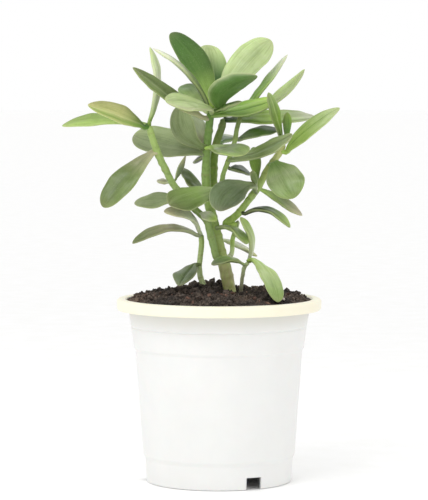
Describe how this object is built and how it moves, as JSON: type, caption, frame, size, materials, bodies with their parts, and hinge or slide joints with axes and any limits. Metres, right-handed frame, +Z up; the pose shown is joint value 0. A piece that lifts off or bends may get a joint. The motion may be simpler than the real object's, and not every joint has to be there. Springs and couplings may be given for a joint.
{
  "type": "potted jade plant",
  "caption": "Jade plant with branching green stems and fleshy oval leaves, planted in soil in a white tapered plastic grower pot with a thick rim",
  "frame": {"origin": "on the plane the pot stands on, under the middle of the whole plant's outline seen from above", "axes": "+Z is up, +X is to the right seen from the front, +Y is towards the back"},
  "size_m": [0.172, 0.1284, 0.2805],
  "materials": {
    "pot_plastic": "white injection-moulded polypropylene with a satin face and an ivory rim",
    "potting_soil": null,
    "stem_skin": null,
    "green_leaf": null,
    "bright_leaf": null,
    "pale_leaf": null,
    "grey_leaf": null
  },
  "bodies": {
    "root": {"pot": "pot_plastic", "soil": "potting_soil", "stem_trunk": "stem_skin", "stem_rear": "stem_skin", "stem_left": "stem_skin", "stem_right": "stem_skin", "stem_strut": "stem_skin", "stem_centre": "stem_skin", "stem_small_right": "stem_skin", "stem_small_left": "stem_skin", "leaf_crown_front_left": "green_leaf", "leaf_crown_back": "pale_leaf", "leaf_crown_right": "pale_leaf", "leaf_crown_front": "green_leaf", "leaf_crown_bud": "green_leaf", "leaf_crown_long": "bright_leaf", "leaf_crown_pale": "pale_leaf", "leaf_crown_bump": "green_leaf", "leaf_olive": "grey_leaf", "leaf_left_upright": "bright_leaf", "leaf_left_front": "bright_leaf", "leaf_left_long": "bright_leaf", "leaf_left_drooping": "grey_leaf", "leaf_right_spike": "bright_leaf", "leaf_right_curved": "pale_leaf", "leaf_right_fold": "bright_leaf", "leaf_right_pale": "pale_leaf", "leaf_tip_upright": "bright_leaf", "leaf_tip_small": "bright_leaf", "leaf_tip_large": "bright_leaf", "leaf_centre_right": "green_leaf", "leaf_centre_front": "green_leaf", "leaf_centre_rear": "green_leaf", "leaf_centre_dark": "green_leaf", "leaf_round": "bright_leaf", "leaf_narrow_behind": "grey_leaf", "leaf_arching": "green_leaf", "leaf_bowed": "bright_leaf", "leaf_drooping": "pale_leaf", "leaf_across_trunk": "green_leaf", "leaf_low_right": "green_leaf", "leaf_thin_behind": "pale_leaf", "leaf_grey_oval": "grey_leaf", "leaf_broad": "green_leaf", "leaf_left_low": "grey_leaf", "leaf_bud_left": "grey_leaf", "leaf_bud_spike": "grey_leaf", "leaf_dark_wedge": "green_leaf", "leaf_pale_wedge": "pale_leaf", "leaf_green_upright": "green_leaf", "leaf_brown_upright": "grey_leaf", "leaf_small_dark": "grey_leaf", "leaf_stub": "grey_leaf", "leaf_large_grey": "grey_leaf", "leaf_crease": "grey_leaf", "leaf_crease_rear": "grey_leaf", "leaf_left_arching": "grey_leaf", "leaf_heart": "grey_leaf", "leaf_under_broad": "grey_leaf"}
  },
  "joints": []
}
